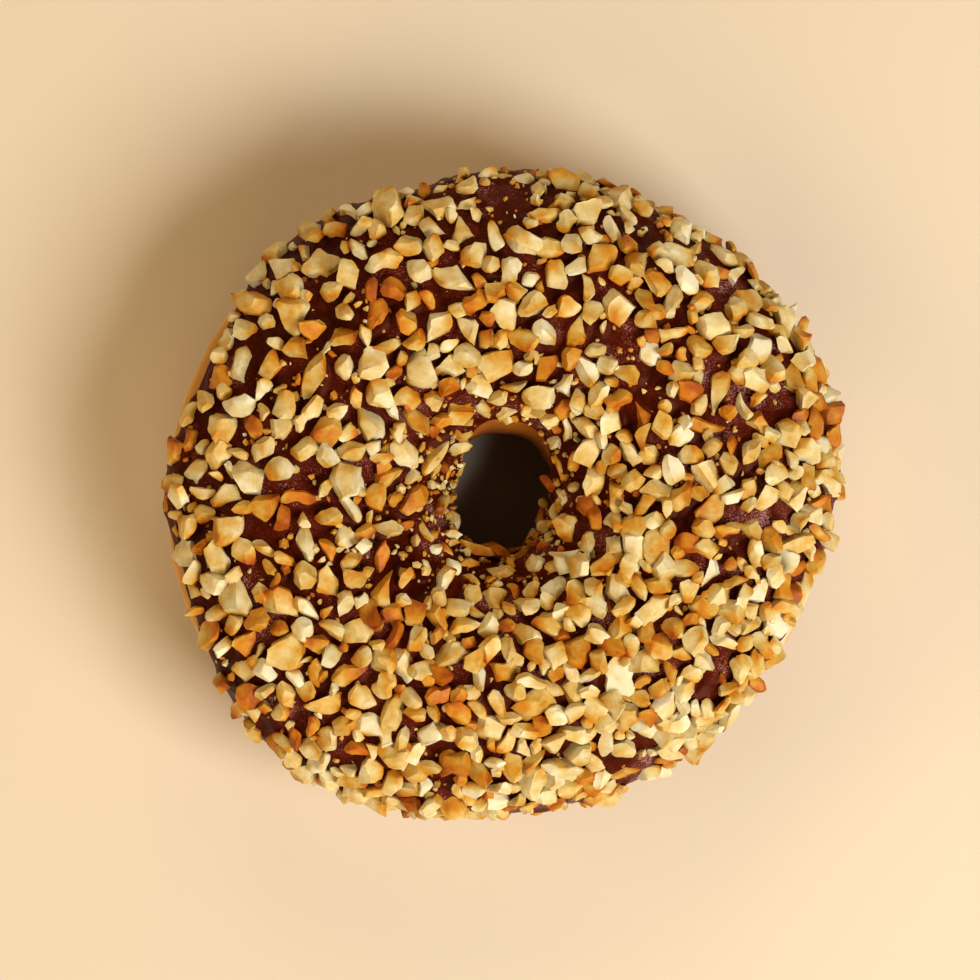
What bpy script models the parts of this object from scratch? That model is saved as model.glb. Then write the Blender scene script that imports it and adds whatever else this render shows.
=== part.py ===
"""Ring doughnut, dipped in dark chocolate icing and rolled in chopped roasted peanuts.

The dough is one solid ring with a flat under it. The icing is a cap over its top, with the larger
nut pieces fused to it. Everything is in metres, +Z up, with the ring standing on Z = 0 and centred
over the origin. Angles round the ring are counted from +X towards +Y. Angles round the dough's
section are counted from its outermost point, over the crown, to the neck of the hole.
"""

import math
from collections import namedtuple

import bmesh
import bpy
import numpy as np
from mathutils import Matrix, Vector

MM = 0.001

# Dough
RING_RADIUS = 43.3 * MM  # from the middle to the widest point, averaged round the ring
RING_OVAL = 1.6 * MM  # longer across one diagonal than across the other
RING_OVAL_AT = math.radians(8)
RING_LOBE = 0.4 * MM  # and a little three-cornered
RING_LOBE_AT = math.radians(-8)
HOLE_RADIUS = 8.7 * MM  # at the neck
HOLE_OVAL = 0.55 * MM
HOLE_OVAL_AT = math.radians(90)
HOLE_SHIFT = Vector((0.3 * MM, -1.2 * MM))  # the hole isn't quite in the middle
WAIST_HEIGHT = 13.0 * MM  # height of the widest point
CROWN_RISE = 15.2 * MM  # from there to the top
UNDERSIDE_DROP = 14.4 * MM  # the round underside would reach this far down: the rest is the flat
SQUARENESS = 2.15  # 2 is an ellipse, more is squarer
SWELL = 0.35 * MM  # slow lumps all over
RING_SHIFT = Vector((-1.10, 0.06, 0.0)) * MM  # puts the finished ring's box over the origin

# Icing
ICING_GAP = 0.3 * MM
ICING_THICKNESS = 1.4 * MM
# Where the icing ends, in degrees of the dough's section, at even steps round the ring from +X.
OUTER_EDGE_DEG = (
    21, 9, 3, 4, 6, 6, 12, 26, 16, 19, 32, 32, 23, 34, 26, 12, 3, -3, -6, -5, 6, 21, 31, 31,
)
INNER_EDGE_DEG = (170, 158, 150, 146, 146, 153, 171, 184, 188, 188, 186, 190, 192, 190, 188, 182)

# Chopped nuts
NUT_SEED = 41
NUT_MEDIAN = 3.3 * MM
NUT_SPREAD = 0.27  # of the logarithm of the length
NUT_LARGEST = 5.6 * MM
NUTS_ON_REAL_RING = 1250  # the lengths are drawn for all of them, and the largest are made here
NUTS_MADE = 139  # tried by chance, besides the given ones; those that find a place are made
NUT_SINK = 0.36  # of the piece's thickness, into the icing
NUT_SINK_MOST = 0.85 * MM
NUT_SPACING = 0.54  # of the sum of two lengths, between centres
NUT_FOOT_CORNERS = 6
NUT_TOP_CORNERS = 5
NUT_LEAN = math.radians(11)  # spread of it, to either side
NUT_TRIES = 60  # places tried before a piece is left out
EDGE_CLEAR = 0.045  # share of the icing's width left free at each edge
HOLE_CLEAR = 6.0 * MM  # no nut comes nearer to the hole's axis
OUTLINE_CLEAR = 2.0 * MM  # or reaches further out than this, past the dough's widest point

# The large pieces that catch the eye, seen from above: right and down to the middle of each on a
# grid whose middle is the ring's, length and width in steps of that grid, heading in degrees
GRID = 0.1347 * MM
GRID_MIDDLE = (498, 494)
LARGE_PIECES = (
    (333, 272, 48, 30, -12), (252, 367, 40, 31, 75), (322, 379, 50, 22, 80), (458, 285, 50, 26, -20),
    (468, 239, 35, 24, 85), (467, 195, 29, 27, 0), (407, 452, 39, 28, -20), (381, 321, 36, 25, 70),
    (289, 432, 34, 33, 0), (744, 305, 42, 34, 50), (720, 261, 38, 24, -60), (647, 358, 29, 24, -15),
    (714, 397, 46, 20, 75), (599, 268, 40, 30, 45), (578, 336, 42, 20, 70), (556, 285, 36, 24, 90),
    (525, 186, 32, 20, 60), (703, 428, 42, 16, -8), (625, 375, 34, 20, -40), (618, 673, 46, 36, 100),
    (710, 509, 48, 25, 40), (747, 528, 38, 24, -40), (571, 559, 38, 18, 5), (496, 602, 27, 26, 0),
    (676, 648, 38, 18, 0), (507, 667, 33, 32, 0), (533, 701, 44, 28, 25), (645, 722, 34, 32, 60),
    (501, 793, 32, 30, 20), (625, 766, 40, 16, 5), (708, 571, 33, 18, 85), (305, 498, 38, 20, 15),
    (351, 537, 32, 24, 0), (290, 599, 36, 32, 0), (363, 630, 36, 28, 30), (253, 667, 33, 31, 0),
    (356, 669, 40, 22, 20), (331, 699, 40, 22, 5), (399, 705, 44, 22, 65), (411, 783, 36, 30, 20),
    (633, 457, 36, 20, -40), (765, 457, 34, 22, 45), (808, 425, 36, 22, 70), (166, 454, 33, 27, 75),
    (182, 597, 29, 24, 0), (186, 412, 32, 20, 100), (833, 457, 36, 21, 90), (822, 505, 34, 20, 100),
)
# Smaller pieces round the mouth of the hole, and four that stick out of the outline, likewise
RIM_PIECES = (
    (441, 505, 38, 17, 25), (415, 503, 40, 26, 60), (436, 455, 50, 16, 42), (459, 447, 26, 20, 30),
    (450, 472, 22, 14, 80), (460, 414, 32, 26, 10), (485, 412, 28, 20, -60), (508, 413, 26, 18, 30),
    (532, 412, 26, 24, 40), (565, 410, 25, 22, 80), (571, 432, 27, 19, 75), (564, 469, 30, 10, 88),
    (579, 460, 24, 13, 80), (540, 487, 27, 12, -50), (537, 511, 34, 13, 85), (560, 514, 22, 16, 70),
    (583, 504, 20, 18, 0), (515, 545, 22, 15, 65), (491, 554, 24, 15, 75), (470, 565, 26, 18, 25),
    (521, 561, 34, 13, 32), (516, 593, 24, 13, -80), (549, 547, 22, 18, 0), (556, 568, 24, 16, -40),
    (556, 589, 30, 20, 50), (473, 598, 28, 20, 60), (448, 551, 18, 16, 0), (429, 570, 22, 15, 75),
    (427, 533, 24, 14, -50), (467, 502, 20, 14, 80), (847, 458, 18, 9, 0), (444, 171, 16, 9, 70),
    (544, 817, 22, 18, -60), (166, 506, 22, 16, 80),
)
# Where the icing shows between the nuts, on the same grid: right, down and radius
BARE_SPOTS = (
    (507, 212, 24), (325, 318, 10), (292, 232, 12), (262, 250, 10), (272, 345, 9), (346, 388, 9),
    (303, 385, 8), (646, 242, 13), (620, 340, 15), (645, 385, 16), (710, 372, 12), (705, 262, 9),
    (717, 300, 10), (772, 408, 14), (312, 472, 13), (412, 552, 14), (424, 590, 12), (275, 528, 8),
    (264, 571, 8), (675, 412, 8), (735, 432, 8), (526, 579, 10), (277, 719, 10), (229, 661, 9),
    (348, 747, 8), (306, 713, 8), (462, 672, 9), (447, 776, 9), (610, 753, 9), (641, 748, 11),
    (632, 776, 9), (660, 454, 10), (737, 473, 8), (774, 513, 7), (729, 549, 8), (679, 519, 7),
    (715, 661, 8), (703, 683, 8), (481, 430, 6), (500, 428, 8), (522, 430, 8), (541, 440, 8),
    (555, 458, 5), (520, 813, 8), (545, 808, 9), (572, 803, 9), (646, 785, 8), (488, 818, 5),
    (177, 524, 6), (177, 544, 6), (179, 564, 6), (183, 582, 6), (208, 385, 6), (222, 352, 6),
    (236, 330, 5), (203, 404, 5), (814, 580, 6), (806, 602, 6), (795, 626, 6), (782, 650, 6),
    (764, 674, 6), (418, 196, 5), (436, 191, 5), (452, 188, 4),
)

# One nut piece: its sizes, its turn on the icing, and where it lies there
Piece = namedtuple("Piece", "number kind sizes heading lean roll turn across here out")

# How finely the shapes are divided
DOUGH_TURNS = 56
DOUGH_SECTION = 20
ICING_TURNS = 56
ICING_OUTER_STEPS = 11
ICING_INNER_STEPS = 11

# The ring before it is shaped: a torus whose tube has radius 1 round a circle of this radius
PLAIN_RADIUS = 3.0
PLAIN_PER_METRE = 0.1 / MM

ROUND = 2 * math.pi


def clear_scene():
    for obj in list(bpy.data.objects):
        bpy.data.objects.remove(obj, do_unlink=True)


def material(name, colour, roughness):
    made = bpy.data.materials.new(name)
    made.use_nodes = True
    shader = made.node_tree.nodes["Principled BSDF"]
    shader.inputs["Base Color"].default_value = (*colour, 1.0)
    shader.inputs["Roughness"].default_value = roughness
    shader.inputs["Metallic"].default_value = 0.0
    return made


def outer_radius(turn):
    """From the ring's middle to the dough's widest point."""
    return (
        RING_RADIUS
        + RING_OVAL * math.cos(2 * (turn - RING_OVAL_AT))
        + RING_LOBE * math.cos(3 * (turn - RING_LOBE_AT))
    )


def neck_radius(turn):
    """From the ring's middle to the neck of the hole."""
    shift = HOLE_SHIFT.x * math.cos(turn) + HOLE_SHIFT.y * math.sin(turn)
    return HOLE_RADIUS + HOLE_OVAL * math.cos(2 * (turn - HOLE_OVAL_AT)) + shift


def swell(turn, phi):
    """Slow lumps, which fade out towards the flat."""
    lumps = (
        0.5 * math.sin(3 * turn + 1.3 + 0.8 * math.sin(phi))
        + 0.35 * math.sin(5 * turn - 2 * phi)
        + 0.3 * math.sin(8 * turn + phi + 0.6)
    )
    return SWELL * lumps * 0.5 * (1 + math.sin(phi))


def squared(value):
    return math.copysign(abs(value) ** (2 / SQUARENESS), value)


def ring_point(turn, phi, lift):
    """The point at an angle round the ring and an angle round its section, lift above the dough."""
    outer, neck = outer_radius(turn), neck_radius(turn)
    drop = CROWN_RISE if math.sin(phi) >= 0 else UNDERSIDE_DROP
    raised = lift + swell(turn, phi)
    radius = (outer + neck) / 2 + ((outer - neck) / 2 + raised) * squared(math.cos(phi))
    height = WAIST_HEIGHT + (drop + raised) * squared(math.sin(phi))
    return Vector((radius * math.cos(turn), radius * math.sin(turn), max(height, 0.0)))


def edge_at(edges_deg, turn):
    """The icing's edge at this turn, by a smooth curve through the even steps."""
    place = (turn % ROUND) / ROUND * len(edges_deg)
    step = int(place) % len(edges_deg)
    before, here, after, beyond = (edges_deg[(step + k) % len(edges_deg)] for k in (-1, 0, 1, 2))
    t = place - int(place)
    value = 0.5 * (
        2 * here
        + (after - before) * t
        + (2 * before - 5 * here + 4 * after - beyond) * t**2
        + (3 * here - before - 3 * after + beyond) * t**3
    )
    return math.radians(value)


def icing_phi(turn, across):
    """Section angle at a share of the way across the icing, 0 at its outer edge and 1 in the hole."""
    outer = edge_at(OUTER_EDGE_DEG, turn)
    return outer + across * (edge_at(INNER_EDGE_DEG, turn) - outer)


def frame_on_icing(turn, across):
    """Point on the icing's top, the way along the ring, the way across it and the way out."""
    lift = ICING_GAP + ICING_THICKNESS
    step = 1e-3
    phi = icing_phi(turn, across)
    here = ring_point(turn, phi, lift)
    along = (ring_point(turn + step, phi, lift) - here).normalized()
    over = (ring_point(turn, phi + step, lift) - here).normalized()
    out = along.cross(over)
    if out.dot(Vector((0, 0, 1)) * math.sin(phi) + here.xy.to_3d() * math.cos(phi)) < 0:
        out = -out
    out.normalize()
    return here, along, out.cross(along), out


def plain_section(points):
    """Section points (share of a half turn, lift) as places on the plain torus."""
    placed = []
    for share, lift in points:
        radius = 1 + lift * PLAIN_PER_METRE
        angle = math.pi * share
        place = (PLAIN_RADIUS + radius * math.cos(angle), 0.0, radius * math.sin(angle))
        placed.append(place)
    return placed


def spun_ring(section, turns):
    """A closed section spun round Z into a plain torus."""
    shape = bmesh.new()
    corners = [shape.verts.new(place) for place in section]
    edges = [shape.edges.new((corners[k - 1], corners[k])) for k in range(len(corners))]
    bmesh.ops.spin(
        shape,
        geom=corners + edges,
        cent=(0, 0, 0),
        axis=(0, 0, 1),
        angle=ROUND,
        steps=turns,
        use_merge=True,
        use_duplicate=False,
    )
    bmesh.ops.remove_doubles(shape, verts=shape.verts, dist=1e-5)
    bmesh.ops.recalc_face_normals(shape, faces=shape.faces)
    return shape


def shape_ring(shape, place):
    """Moves each vertex of a plain torus to place(turn, share of a half turn, lift)."""
    for vert in shape.verts:
        turn = math.atan2(vert.co.y, vert.co.x)
        side = vert.co.xy.length - PLAIN_RADIUS
        share = (math.atan2(vert.co.z, side) % ROUND) / math.pi
        lift = (math.hypot(side, vert.co.z) - 1) / PLAIN_PER_METRE
        vert.co = place(turn, share, lift)


def new_object(name, shape, finish):
    mesh = bpy.data.meshes.new(name)
    shape.to_mesh(mesh)
    shape.free()
    made = bpy.data.objects.new(name, mesh)
    bpy.context.scene.collection.objects.link(made)
    mesh.materials.append(finish)
    mesh.shade_smooth()
    mesh.set_sharp_from_angle(angle=math.radians(35))
    return made


def make_dough(finish):
    flat_half = math.pi / 2 - math.asin((WAIST_HEIGHT / UNDERSIDE_DROP) ** (SQUARENESS / 2))
    first = -math.pi / 2 + flat_half
    last = 3 * math.pi / 2 - flat_half
    angles = [first + (last - first) * k / (DOUGH_SECTION - 1) for k in range(DOUGH_SECTION)]
    section = plain_section([(angle / math.pi, 0.0) for angle in angles])
    shape = spun_ring(section, DOUGH_TURNS)
    shape_ring(shape, lambda turn, share, lift: ring_point(turn, math.pi * share, lift))
    return new_object("dough", shape, finish)


def icing_section():
    """The icing's closed section: over its outside, round the inner edge, and back underneath."""
    full = ICING_GAP + ICING_THICKNESS
    nose = ICING_GAP + 0.45 * ICING_THICKNESS
    shoulder = ICING_GAP + 0.9 * ICING_THICKNESS
    start, round_end = 0.0, 0.022
    outside = [(start, nose), (round_end / 2, shoulder)]
    for k in range(ICING_OUTER_STEPS):
        share = round_end + (1 - 2 * round_end) * k / (ICING_OUTER_STEPS - 1)
        outside.append((share, full))
    outside += [(1 - round_end / 2, shoulder), (1.0, nose)]
    underneath = []
    for k in range(ICING_INNER_STEPS):
        share = 1 - round_end / 3 - (1 - 2 * round_end / 3) * k / (ICING_INNER_STEPS - 1)
        underneath.append((share, ICING_GAP))
    return outside + underneath


def make_icing(finish):
    shape = spun_ring(plain_section(icing_section()), ICING_TURNS)
    shape_ring(shape, lambda turn, share, lift: ring_point(turn, icing_phi(turn, share), lift))
    return new_object("icing_with_nuts", shape, finish)


def nut_lengths():
    """Lengths of all the pieces on the real ring, longest first."""
    draw = np.random.default_rng(NUT_SEED)
    lengths = NUT_MEDIAN * np.exp(NUT_SPREAD * draw.standard_normal(NUTS_ON_REAL_RING))
    return sorted(np.minimum(lengths, NUT_LARGEST).tolist(), reverse=True)


def nut_proportions(draw):
    """Its kind, and width and thickness as shares of the length."""
    kind = draw.random()
    if kind < 0.50:
        return "chunk", draw.uniform(0.66, 0.92), draw.uniform(0.44, 0.62)
    if kind < 0.78:
        return "slice", draw.uniform(0.42, 0.58), draw.uniform(0.34, 0.46)
    return "flake", draw.uniform(0.68, 0.88), draw.uniform(0.30, 0.38)


def nut_sink(thickness):
    return min(NUT_SINK * thickness, NUT_SINK_MOST)


def on_grid(right, down):
    """A place on the grid as seen from above, in metres."""
    return Vector((right - GRID_MIDDLE[0], GRID_MIDDLE[1] - down)) * GRID


def across_at(turn, radius):
    """How far across the icing a point seen from above at this radius is."""
    nearer, further = 1.0, 0.0
    for _ in range(20):
        middle = (nearer + further) / 2
        if frame_on_icing(turn, middle)[0].xy.length > radius:
            further = middle
        else:
            nearer = middle
    return min(max(middle, EDGE_CLEAR), 1 - EDGE_CLEAR)


def given_pieces():
    """The pieces whose places are given."""
    made = []
    for number, (right, down, length, width, heading) in enumerate(LARGE_PIECES + RIM_PIECES):
        draw = np.random.default_rng((NUT_SEED, 1, number))
        thickness = draw.uniform(0.36, 0.5) * (length + width) / 2
        seen = on_grid(right, down)
        turn = math.atan2(seen.y, seen.x)
        across = across_at(turn, seen.length)
        here, _, _, out = frame_on_icing(turn, across)
        # the icing's own first direction runs along the ring, a quarter turn on from outwards
        on_icing = math.radians(heading) - turn - math.pi / 2
        kind = "slice" if width < 0.6 * length else "chunk"
        sizes = (length * GRID, width * GRID, thickness * GRID)
        lean, roll = draw.normal(0, NUT_LEAN), draw.normal(0, NUT_LEAN)
        made.append(Piece(number, kind, sizes, on_icing, lean, roll, turn, across, here, out))
    return made


def keeps_clear(here, out, sizes):
    """True if a piece here leaves the hole, the outline and the bare spots free."""
    top = here + out * (sizes[2] - nut_sink(sizes[2]))
    if (top.xy - HOLE_SHIFT).length < HOLE_CLEAR:
        return False
    if top.xy.length > outer_radius(math.atan2(top.y, top.x)) + OUTLINE_CLEAR:
        return False
    for right, down, radius in BARE_SPOTS:
        if (here.xy - on_grid(right, down)).length < radius * GRID + 0.3 * sizes[0]:
            return False
    return True


def scattered_pieces(lengths, spacing):
    """The given pieces, then the rest, largest first, each where a random place is still free."""
    made = given_pieces()
    places = np.array([piece.here for piece in made])
    reaches = np.array([piece.sizes[0] for piece in made])
    draw = np.random.default_rng(NUT_SEED)
    widest = outer_radius(RING_OVAL_AT)
    for number, length in enumerate(lengths):
        shaping = np.random.default_rng((NUT_SEED, 2, number))
        kind, width, thickness = nut_proportions(shaping)
        sizes = (length, length * width, length * thickness)
        heading = shaping.uniform(0, ROUND)
        lean, roll = shaping.normal(0, NUT_LEAN), shaping.normal(0, NUT_LEAN)
        for _ in range(NUT_TRIES):
            turn = draw.uniform(0, ROUND)
            across = draw.uniform(EDGE_CLEAR, 1 - EDGE_CLEAR)
            share_of_widest = draw.random()
            here, _, _, out = frame_on_icing(turn, across)
            if here.xy.length < share_of_widest * widest or not keeps_clear(here, out, sizes):
                continue
            apart = np.linalg.norm(places - np.array(here), axis=1)
            if np.all(apart > spacing * (length + reaches)):
                made.append(Piece(number, kind, sizes, heading, lean, roll, turn, across, here, out))
                places = np.vstack((places, here))
                reaches = np.append(reaches, length)
                break
    return made


def corner_ring(draw, count, heights, reaches):
    """Corners round Z at uneven angles, each at a height and a reach drawn between two limits."""
    first = draw.uniform(0, ROUND)
    corners = []
    for k in range(count):
        heading = first + (k + draw.uniform(-0.3, 0.3)) * ROUND / count
        reach = draw.uniform(*reaches)
        height = draw.uniform(*heights)
        corners.append(Vector((reach * math.cos(heading), reach * math.sin(heading), height)))
    return corners


def nut_shape(sizes, draw):
    """A rough many-sided block that fills a box of these sizes, a little narrower above."""
    corners = corner_ring(draw, NUT_FOOT_CORNERS, (-1.0, -0.2), (0.9, 1.0))
    corners += corner_ring(draw, NUT_TOP_CORNERS, (0.6, 1.0), (0.5, 0.85))
    shape = bmesh.new()
    for corner in corners:
        shape.verts.new(corner)
    wrapped = bmesh.ops.convex_hull(shape, input=shape.verts)
    inside = wrapped["geom_interior"] + wrapped["geom_unused"]
    bmesh.ops.delete(shape, geom=list(set(inside)), context="VERTS")
    bmesh.ops.recalc_face_normals(shape, faces=shape.faces)
    low = [min(vert.co[k] for vert in shape.verts) for k in range(3)]
    high = [max(vert.co[k] for vert in shape.verts) for k in range(3)]
    for vert in shape.verts:
        spread = [(vert.co[k] - low[k]) / (high[k] - low[k]) - 0.5 for k in range(3)]
        vert.co = Vector(spread) * Vector(sizes)
    return shape


def nut_on_icing(piece, number):
    """The piece as a bmesh in its place, leaning, and sunk a little into the icing."""
    shape = nut_shape(piece.sizes, np.random.default_rng((NUT_SEED, 3, number)))
    here, along, over, out = frame_on_icing(piece.turn, piece.across)
    turned = Matrix.Rotation(piece.heading, 3, "Z") @ Matrix.Rotation(piece.lean, 3, "Y")
    turned = Matrix((along, over, out)).transposed() @ turned @ Matrix.Rotation(piece.roll, 3, "X")
    bmesh.ops.transform(shape, matrix=turned.to_4x4(), verts=shape.verts)
    lowest = min(vert.co.dot(out) for vert in shape.verts)
    down = out * (lowest + nut_sink(piece.sizes[2]))
    bmesh.ops.translate(shape, vec=here - down, verts=shape.verts)
    return shape


def fuse_nuts(icing, finish):
    pieces = bpy.data.collections.new("nuts_to_fuse")
    bpy.context.scene.collection.children.link(pieces)
    for number, piece in enumerate(scattered_pieces(nut_lengths()[:NUTS_MADE], NUT_SPACING)):
        shape = nut_on_icing(piece, number)
        mesh = bpy.data.meshes.new(f"nut_{number}")
        shape.to_mesh(mesh)
        shape.free()
        mesh.materials.append(finish)
        pieces.objects.link(bpy.data.objects.new(mesh.name, mesh))
    icing.data.materials.append(finish)
    fused = icing.modifiers.new("fused_nuts", "BOOLEAN")
    fused.operation = "UNION"
    fused.operand_type = "COLLECTION"
    fused.collection = pieces
    fused.solver = "EXACT"
    fused.material_mode = "TRANSFER"
    bpy.context.view_layer.objects.active = icing
    bpy.ops.object.modifier_apply(modifier=fused.name)
    for nut in list(pieces.objects):
        bpy.data.objects.remove(nut, do_unlink=True)
    bpy.data.collections.remove(pieces)


def island_from(vert):
    """All the vertices joined to this one."""
    reached = {vert}
    waiting = [vert]
    while waiting:
        here = waiting.pop()
        near = {edge.other_vert(here) for edge in here.link_edges} - reached
        reached |= near
        waiting.extend(near)
    return reached


def drop_scraps(obj):
    """Deletes every body of a mesh but the largest, such as a nut that only just misses the icing."""
    shape = bmesh.new()
    shape.from_mesh(obj.data)
    unseen = set(shape.verts)
    islands = []
    while unseen:
        islands.append(island_from(next(iter(unseen))))
        unseen -= islands[-1]
    islands.sort(key=len)
    scraps = [vert for island in islands[:-1] for vert in island]
    bmesh.ops.delete(shape, geom=scraps, context="VERTS")
    shape.to_mesh(obj.data)
    shape.free()


def main():
    clear_scene()
    dough = make_dough(material("fried_dough", (0.72, 0.42, 0.14), 0.6))
    icing = make_icing(material("chocolate_icing", (0.05, 0.02, 0.012), 0.4))
    fuse_nuts(icing, material("roasted_nut", (0.78, 0.55, 0.22), 0.55))
    drop_scraps(icing)
    for obj in (dough, icing):
        obj.data.transform(Matrix.Translation(RING_SHIFT))


main()
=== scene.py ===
"""Looks of the nut doughnut: fried dough, dark chocolate icing and chopped roasted peanuts.

The ring's measures and the places of the large nuts are the ones the solids have. Angles round the
ring are counted from +X towards +Y, and angles round the dough's section from its outermost point,
over the crown, to the neck of the hole. Everything is in metres.
"""

import math
from collections import namedtuple

import bmesh
import bpy
import numpy as np
from mathutils import Matrix, Vector, kdtree, noise

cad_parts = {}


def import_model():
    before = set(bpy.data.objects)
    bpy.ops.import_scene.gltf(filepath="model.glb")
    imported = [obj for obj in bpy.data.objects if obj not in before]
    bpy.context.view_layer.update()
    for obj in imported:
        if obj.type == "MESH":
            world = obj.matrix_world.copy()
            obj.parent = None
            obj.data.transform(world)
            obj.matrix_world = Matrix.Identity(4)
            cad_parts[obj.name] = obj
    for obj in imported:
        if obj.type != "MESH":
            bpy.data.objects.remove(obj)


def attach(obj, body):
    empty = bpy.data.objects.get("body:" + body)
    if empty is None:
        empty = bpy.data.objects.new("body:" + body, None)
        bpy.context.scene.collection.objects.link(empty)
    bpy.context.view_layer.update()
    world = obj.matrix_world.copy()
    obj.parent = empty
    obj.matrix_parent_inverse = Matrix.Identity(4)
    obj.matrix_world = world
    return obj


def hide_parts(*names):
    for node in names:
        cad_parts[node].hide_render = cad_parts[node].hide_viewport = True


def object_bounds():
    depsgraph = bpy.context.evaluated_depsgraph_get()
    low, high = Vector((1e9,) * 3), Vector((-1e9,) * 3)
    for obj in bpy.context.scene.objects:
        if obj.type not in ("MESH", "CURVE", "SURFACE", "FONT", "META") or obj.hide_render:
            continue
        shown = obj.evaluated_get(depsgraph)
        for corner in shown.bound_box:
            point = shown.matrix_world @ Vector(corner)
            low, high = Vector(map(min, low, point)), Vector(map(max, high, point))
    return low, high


MM = 0.001
ROUND = 2 * math.pi

# Dough
RING_RADIUS = 43.3 * MM
RING_OVAL = 1.6 * MM
RING_OVAL_AT = math.radians(8)
RING_LOBE = 0.4 * MM
RING_LOBE_AT = math.radians(-8)
HOLE_RADIUS = 8.7 * MM
HOLE_OVAL = 0.55 * MM
HOLE_OVAL_AT = math.radians(90)
HOLE_SHIFT = Vector((0.3 * MM, -1.2 * MM))
WAIST_HEIGHT = 13.0 * MM
CROWN_RISE = 15.2 * MM
UNDERSIDE_DROP = 14.4 * MM
SQUARENESS = 2.15
SWELL = 0.35 * MM
RING_SHIFT = Vector((-1.10, 0.06, 0.0)) * MM

# Icing: its edges in degrees of the dough's section, at even steps round the ring from +X
ICING_TOP = 1.7 * MM
ICING_TUCK = -0.25 * MM  # its edges end this far inside the dough
ICING_UNDERNEATH = -0.6 * MM
ICING_EDGE_STEPS = 5
ICING_ROUND_SHARE = 0.024
OUTER_EDGE_DEG = (
    21, 9, 3, 4, 6, 6, 12, 26, 16, 19, 32, 32, 23, 34, 26, 12, 3, -3, -6, -5, 6, 21, 31, 31,
)
INNER_EDGE_DEG = (170, 158, 150, 146, 146, 153, 171, 184, 188, 188, 186, 190, 192, 190, 188, 182)

# Chopped nuts
NUT_SEED = 41
NUT_MEDIAN = 3.3 * MM
NUT_SPREAD = 0.27
NUT_LARGEST = 5.6 * MM
NUTS_ON_RING = 1250  # as many are tried, and those that find a free place are made
NUTS_IN_SOLID = 139  # the largest: those that find a place lie as they do in the solid
BITS_ON_RING = 260  # smaller still, after all those
BIT_MEDIAN = 2.3 * MM
NUT_SINK = 0.36
NUT_SINK_MOST = 0.85 * MM
NUT_SPACING = 0.54
NUT_SPACING_SMALL = 0.325
THIN_SIDE = Vector((-0.71, 0.71))  # where the small pieces lie thinner
THINNING = 0.2  # how much further apart they lie at the rim there, as a share
THIN_ROUND_HOLE = 0.6  # and how much further apart at the hole's edge
THIN_OUT_TO = 16.0 * MM  # falling to none this far from the hole's middle
NUT_RISE = 2.6 * MM  # of a piece right on its neighbour's middle
NUT_LEAN = math.radians(11)
NUT_LEAN_SMALL = math.radians(20)
NUT_TRIES = 60
EDGE_CLEAR = 0.045
HOLE_CLEAR = 6.0 * MM
OUTLINE_CLEAR = 2.0 * MM
CRUMBS = 1900
CRUMB_SIZE = 0.36 * MM
CRUMB_SPREAD = 0.5
CRUMB_EDGE_CLEAR = 0.03
CRUMB_SHARP_DEG = 40
LOBED_SHARE = 0.12  # of the pieces, with a waist
ROAST_ACROSS = 0.34  # how much darker one side of a piece is than the other
ROAST_END = 1.1  # and how quickly it darkens towards its end
FINEST_NUTS = 4.3 * MM  # pieces longer than this have 320 faces
FINER_NUTS = 3.0 * MM  # and than this 180, the rest 80
NUT_SHARP_DEG = 30

# The large pieces that catch the eye: right and down to the middle of each on a grid whose middle
# is the ring's, length and width in steps of that grid, heading in degrees
GRID = 0.1347 * MM
GRID_MIDDLE = (498, 494)
LARGE_PIECES = (
    (333, 272, 48, 30, -12), (252, 367, 40, 31, 75), (322, 379, 50, 22, 80), (458, 285, 50, 26, -20),
    (468, 239, 35, 24, 85), (467, 195, 29, 27, 0), (407, 452, 39, 28, -20), (381, 321, 36, 25, 70),
    (289, 432, 34, 33, 0), (744, 305, 42, 34, 50), (720, 261, 38, 24, -60), (647, 358, 29, 24, -15),
    (714, 397, 46, 20, 75), (599, 268, 40, 30, 45), (578, 336, 42, 20, 70), (556, 285, 36, 24, 90),
    (525, 186, 32, 20, 60), (703, 428, 42, 16, -8), (625, 375, 34, 20, -40), (618, 673, 46, 36, 100),
    (710, 509, 48, 25, 40), (747, 528, 38, 24, -40), (571, 559, 38, 18, 5), (496, 602, 27, 26, 0),
    (676, 648, 38, 18, 0), (507, 667, 33, 32, 0), (533, 701, 44, 28, 25), (645, 722, 34, 32, 60),
    (501, 793, 32, 30, 20), (625, 766, 40, 16, 5), (708, 571, 33, 18, 85), (305, 498, 38, 20, 15),
    (351, 537, 32, 24, 0), (290, 599, 36, 32, 0), (363, 630, 36, 28, 30), (253, 667, 33, 31, 0),
    (356, 669, 40, 22, 20), (331, 699, 40, 22, 5), (399, 705, 44, 22, 65), (411, 783, 36, 30, 20),
    (633, 457, 36, 20, -40), (765, 457, 34, 22, 45), (808, 425, 36, 22, 70), (166, 454, 33, 27, 75),
    (182, 597, 29, 24, 0), (186, 412, 32, 20, 100), (833, 457, 36, 21, 90), (822, 505, 34, 20, 100),
)
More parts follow.
